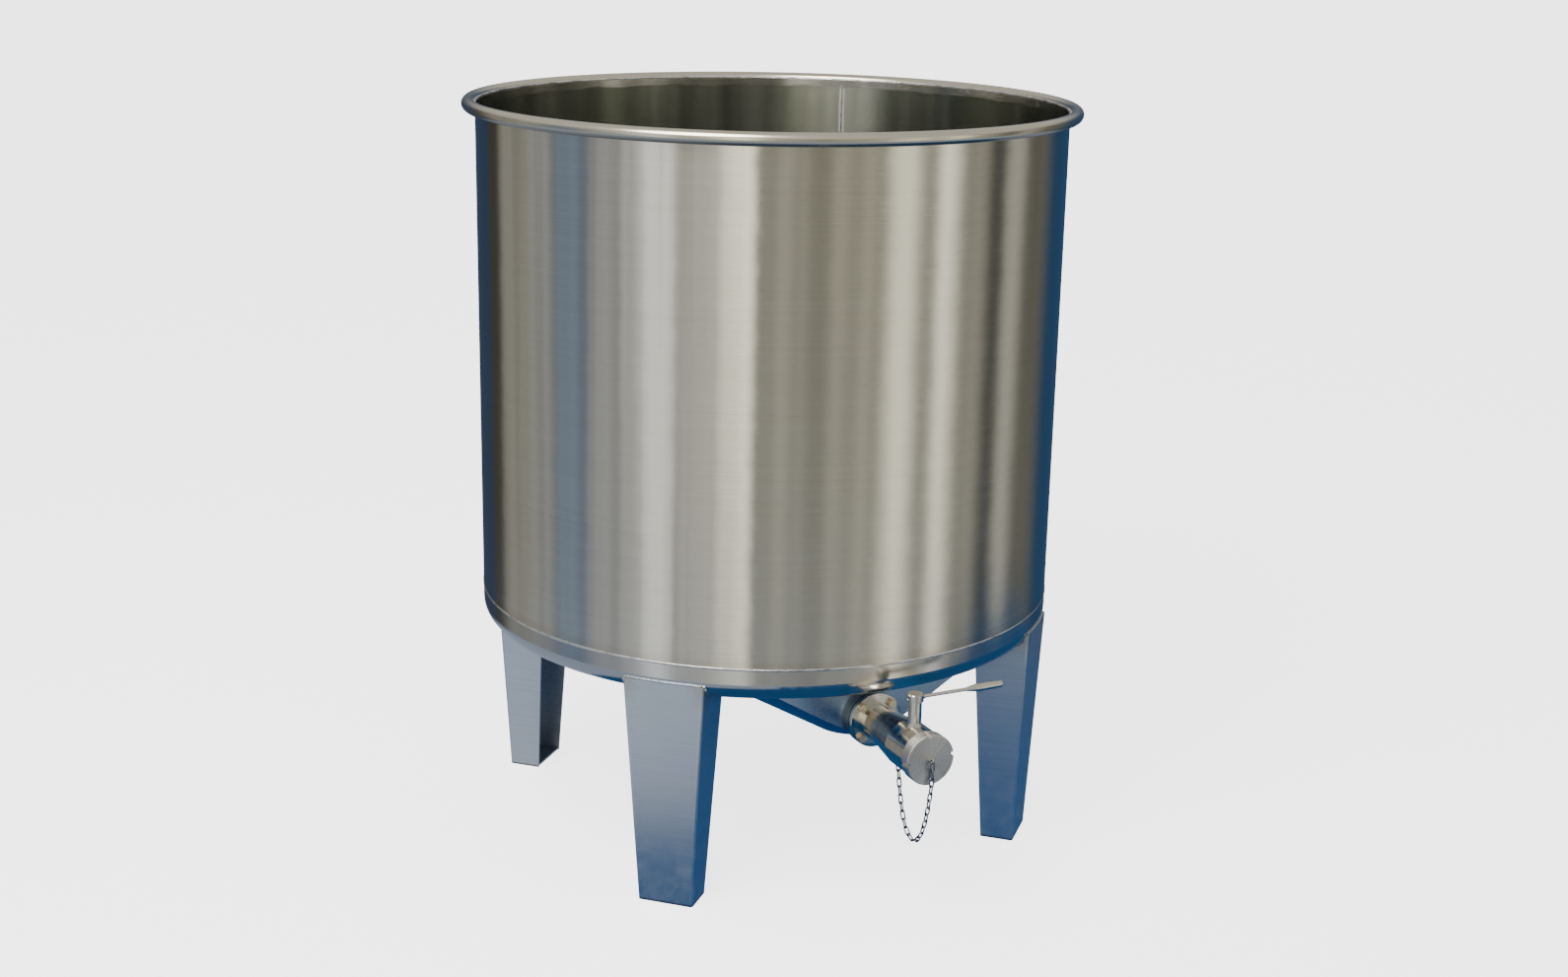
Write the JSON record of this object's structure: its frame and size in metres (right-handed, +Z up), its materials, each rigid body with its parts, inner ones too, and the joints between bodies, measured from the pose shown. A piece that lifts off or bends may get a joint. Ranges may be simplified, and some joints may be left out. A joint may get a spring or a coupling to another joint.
{
  "type": "milk tank",
  "caption": "Open-topped stainless milk tank with a rim tube, eccentric sump and sheet legs, and an outlet valve with a swinging lever and a chained blank nut.",
  "frame": {"origin": "on the tank's upright axis, at the level of the floor under the feet", "axes": "+Z up along the tank's axis out of its open mouth, -Y towards the outlet and its valve, +X towards the lever as it lies when the valve is shut"},
  "size_m": [1.0447, 1.1485, 1.268],
  "materials": {
    "sheet": "fine circumferential grain on rolled stainless sheet",
    "tube": "satin stainless tube",
    "weld": "bright irregular bead",
    "leg": "satin folded sheet with bright edges",
    "turned": "turned and polished stainless",
    "polished": "polished stainless",
    "fixings": "plain stainless fixings",
    "ptfe": "white fluoropolymer",
    "rubber": "food-grade rubber"
  },
  "bodies": {
    "tank": {"tank_shell": "sheet", "tank_bottom": "sheet", "rim_tube": "tube", "outlet_pipe": "tube", "rim_weld": "weld", "shell_seam_weld": "weld", "bottom_weld": "weld", "leg_welds": "weld", "outlet_weld": "weld", "leg_front_left": "leg", "leg_front_right": "leg", "leg_rear_left": "leg", "leg_rear_right": "leg", "foot_plates": "leg", "outlet_flange": "turned", "valve_body": "turned", "end_piece": "turned", "flange_bolts": "fixings", "flange_washers": "fixings", "chain_anchor": "fixings", "cap_chain": "fixings", "flange_gasket": "ptfe", "rear_seat": "ptfe", "front_seat": "ptfe", "stem_bushing": "ptfe", "end_oring": "rubber"},
    "lever": {"valve_ball": "polished", "valve_stem": "polished", "stem_orings": "rubber", "lever_hub": "turned", "hub_screw": "fixings", "lever_rod": "polished", "lever_grip": "turned"},
    "cap_swivel": {"cap_eyelet": "fixings"},
    "cap": {"cap_nut": "turned", "cap_gasket": "rubber"}
  },
  "joints": [
    {"name": "valve_lever", "type": "hinge", "parent": "tank", "child": "lever", "pos_m": [0, -0.56, 0.302], "axis": [0, 0, -1], "range_deg": [0, 90]},
    {"name": "cap_travel", "type": "slide", "parent": "tank", "child": "cap_swivel", "axis": [0, -1, 0], "range_m": [0, 0.017], "deforming": ["cap_chain"]},
    {"name": "cap_turn", "type": "hinge", "parent": "cap_swivel", "child": "cap", "pos_m": [0, -0.606, 0.302], "axis": [0, -1, 0], "range_deg": [0, 1440]}
  ],
  "couplings": [
    {"joint": "cap_travel", "follows": "cap_turn", "m_per_rad": 0.00067376}
  ]
}
